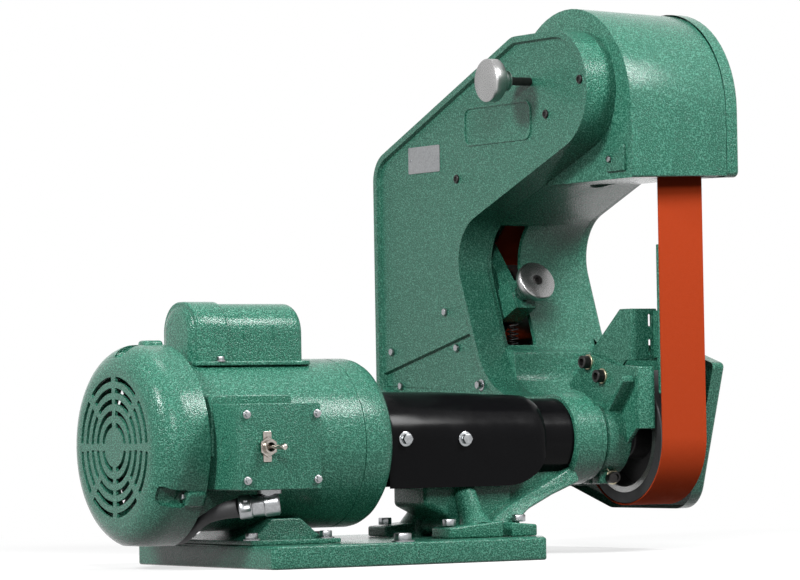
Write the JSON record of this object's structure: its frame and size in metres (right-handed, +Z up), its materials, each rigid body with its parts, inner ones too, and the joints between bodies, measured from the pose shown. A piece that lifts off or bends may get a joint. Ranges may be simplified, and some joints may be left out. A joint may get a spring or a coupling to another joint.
{
  "type": "bench belt grinder",
  "caption": "Bench belt grinder: electric motor, coupled spindle and contact wheel, C-shaped frame with belt guard, hinged door, platen, idler on a tension arm and tracking wheel.",
  "frame": {"origin": "on the underside of the base plate, below the motor axis", "axes": "+X along the motor shaft from the fan to the contact wheel, -Y to the person at the belt, +Z up"},
  "size_m": [0.6445, 0.485, 0.5179],
  "materials": {
    "green_paint": "glossy hammered green paint",
    "black_paint": "satin black paint",
    "steel": "machined steel",
    "laminations": "dull silicon steel laminations",
    "aluminium": "turned aluminium",
    "nickel": "bright nickel plate",
    "rubber": "black rubber",
    "urethane": "red urethane",
    "abrasive": "orange abrasive cloth",
    "plastic": "black plastic"
  },
  "bodies": {
    "base": {"base_plate": "green_paint", "motor_foot": "green_paint", "motor_shell": "green_paint", "stator_core": "laminations", "drive_end_bell": "green_paint", "drive_motor_bearing": "steel", "fan_end_bell": "green_paint", "fan_motor_bearing": "steel", "fan_cover": "green_paint", "capacitor_cover": "green_paint", "start_capacitor": "plastic", "terminal_box": "green_paint", "terminal_box_cover": "green_paint", "switch_body": "nickel", "cord_clamp": "steel", "power_cord": "rubber", "power_cord_coil": "rubber", "cord_tie": "plastic", "power_plug": "plastic", "spindle_tube": "black_paint", "left_spindle_bearing": "steel", "right_spindle_bearing": "steel", "main_frame": "green_paint", "coupling_cover": "black_paint", "belt_housing": "green_paint", "abrasive_belt": "abrasive", "tracking_pivot_pin": "steel", "tension_pivot_pin": "steel", "tension_spring": "steel", "door_hinge": "steel"},
    "drive": {"motor_shaft": "steel", "rotor_core": "laminations", "cooling_fan": "plastic", "motor_coupling_hub": "steel", "spindle_coupling_hub": "steel", "coupling_spider": "urethane", "spindle": "steel", "contact_wheel_hub": "aluminium", "contact_wheel_tyre": "rubber", "wheel_nut": "steel"},
    "switch": {"toggle_lever": "nickel"},
    "tensioner": {"tension_arm": "green_paint", "idler_axle": "steel", "tension_knob": "aluminium"},
    "idler": {"idler_wheel": "aluminium", "idler_bearing": "steel"},
    "tracker": {"tracking_yoke": "steel", "top_axle": "steel"},
    "top_pulley": {"top_wheel": "aluminium", "top_wheel_bearing": "steel"},
    "tracking_screw": {"tracking_screw": "black_paint"},
    "tracking_knob": {"tracking_knob": "aluminium"},
    "door": {"side_door": "green_paint", "door_latch_knob": "plastic"},
    "platen": {"platen_clamp": "green_paint", "platen_clamp_screw": "black_paint", "platen_bracket": "green_paint", "platen": "green_paint"}
  },
  "joints": [
    {"name": "drive_spin", "type": "hinge", "parent": "base", "child": "drive", "pos_m": [0.2, 0, 0.1095], "axis": [1, 0, 0], "continuous": true},
    {"name": "switch_toggle", "type": "hinge", "parent": "base", "child": "switch", "pos_m": [-0.156, -0.1316, 0.108], "axis": [0, 0, 1], "range_deg": [-28, 0]},
    {"name": "tension_swing", "type": "hinge", "parent": "base", "child": "tensioner", "pos_m": [0.279, 0.215, 0.3], "axis": [1, 0, 0], "range_deg": [-10, 0], "stiffness_Nm_per_rad": 3, "springref_deg": 20.05, "deforming": ["tension_spring", "abrasive_belt"]},
    {"name": "idler_spin", "type": "hinge", "parent": "tensioner", "child": "idler", "pos_m": [0.3365, 0.22548, 0.245], "axis": [1, 0, 0], "continuous": true},
    {"name": "tracking_tilt", "type": "hinge", "parent": "base", "child": "tracker", "pos_m": [0.279, -0.0122, 0.437], "axis": [0, 0, 1], "range_deg": [-2, 2], "deforming": ["abrasive_belt"]},
    {"name": "top_spin", "type": "hinge", "parent": "tracker", "child": "top_pulley", "pos_m": [0.3365, -0.0122, 0.437], "axis": [1, 0, 0], "continuous": true},
    {"name": "tracking_screw_travel", "type": "slide", "parent": "base", "child": "tracking_screw", "axis": [1, 0, 0], "range_m": [-0.0018, 0.0018]},
    {"name": "tracking_knob_turn", "type": "hinge", "parent": "tracking_screw", "child": "tracking_knob", "pos_m": [0.192, 0.037, 0.45], "axis": [1, 0, 0], "range_deg": [-210, 210]},
    {"name": "door_swing", "type": "hinge", "parent": "base", "child": "door", "pos_m": [0.386, 0.327, 0.25], "axis": [0, 0, 1], "range_deg": [0, 110]},
    {"name": "platen_swing", "type": "hinge", "parent": "base", "child": "platen", "pos_m": [0.2835, 0, 0.1095], "axis": [1, 0, 0], "range_deg": [-4, 0]}
  ],
  "couplings": [
    {"joint": "idler_spin", "follows": "drive_spin", "ratio": 1.6667},
    {"joint": "top_spin", "follows": "drive_spin", "ratio": 1.25},
    {"joint": "tracking_screw_travel", "follows": "tracking_tilt", "m_per_rad": -0.0492},
    {"joint": "tracking_knob_turn", "follows": "tracking_tilt", "ratio": -103.04}
  ]
}
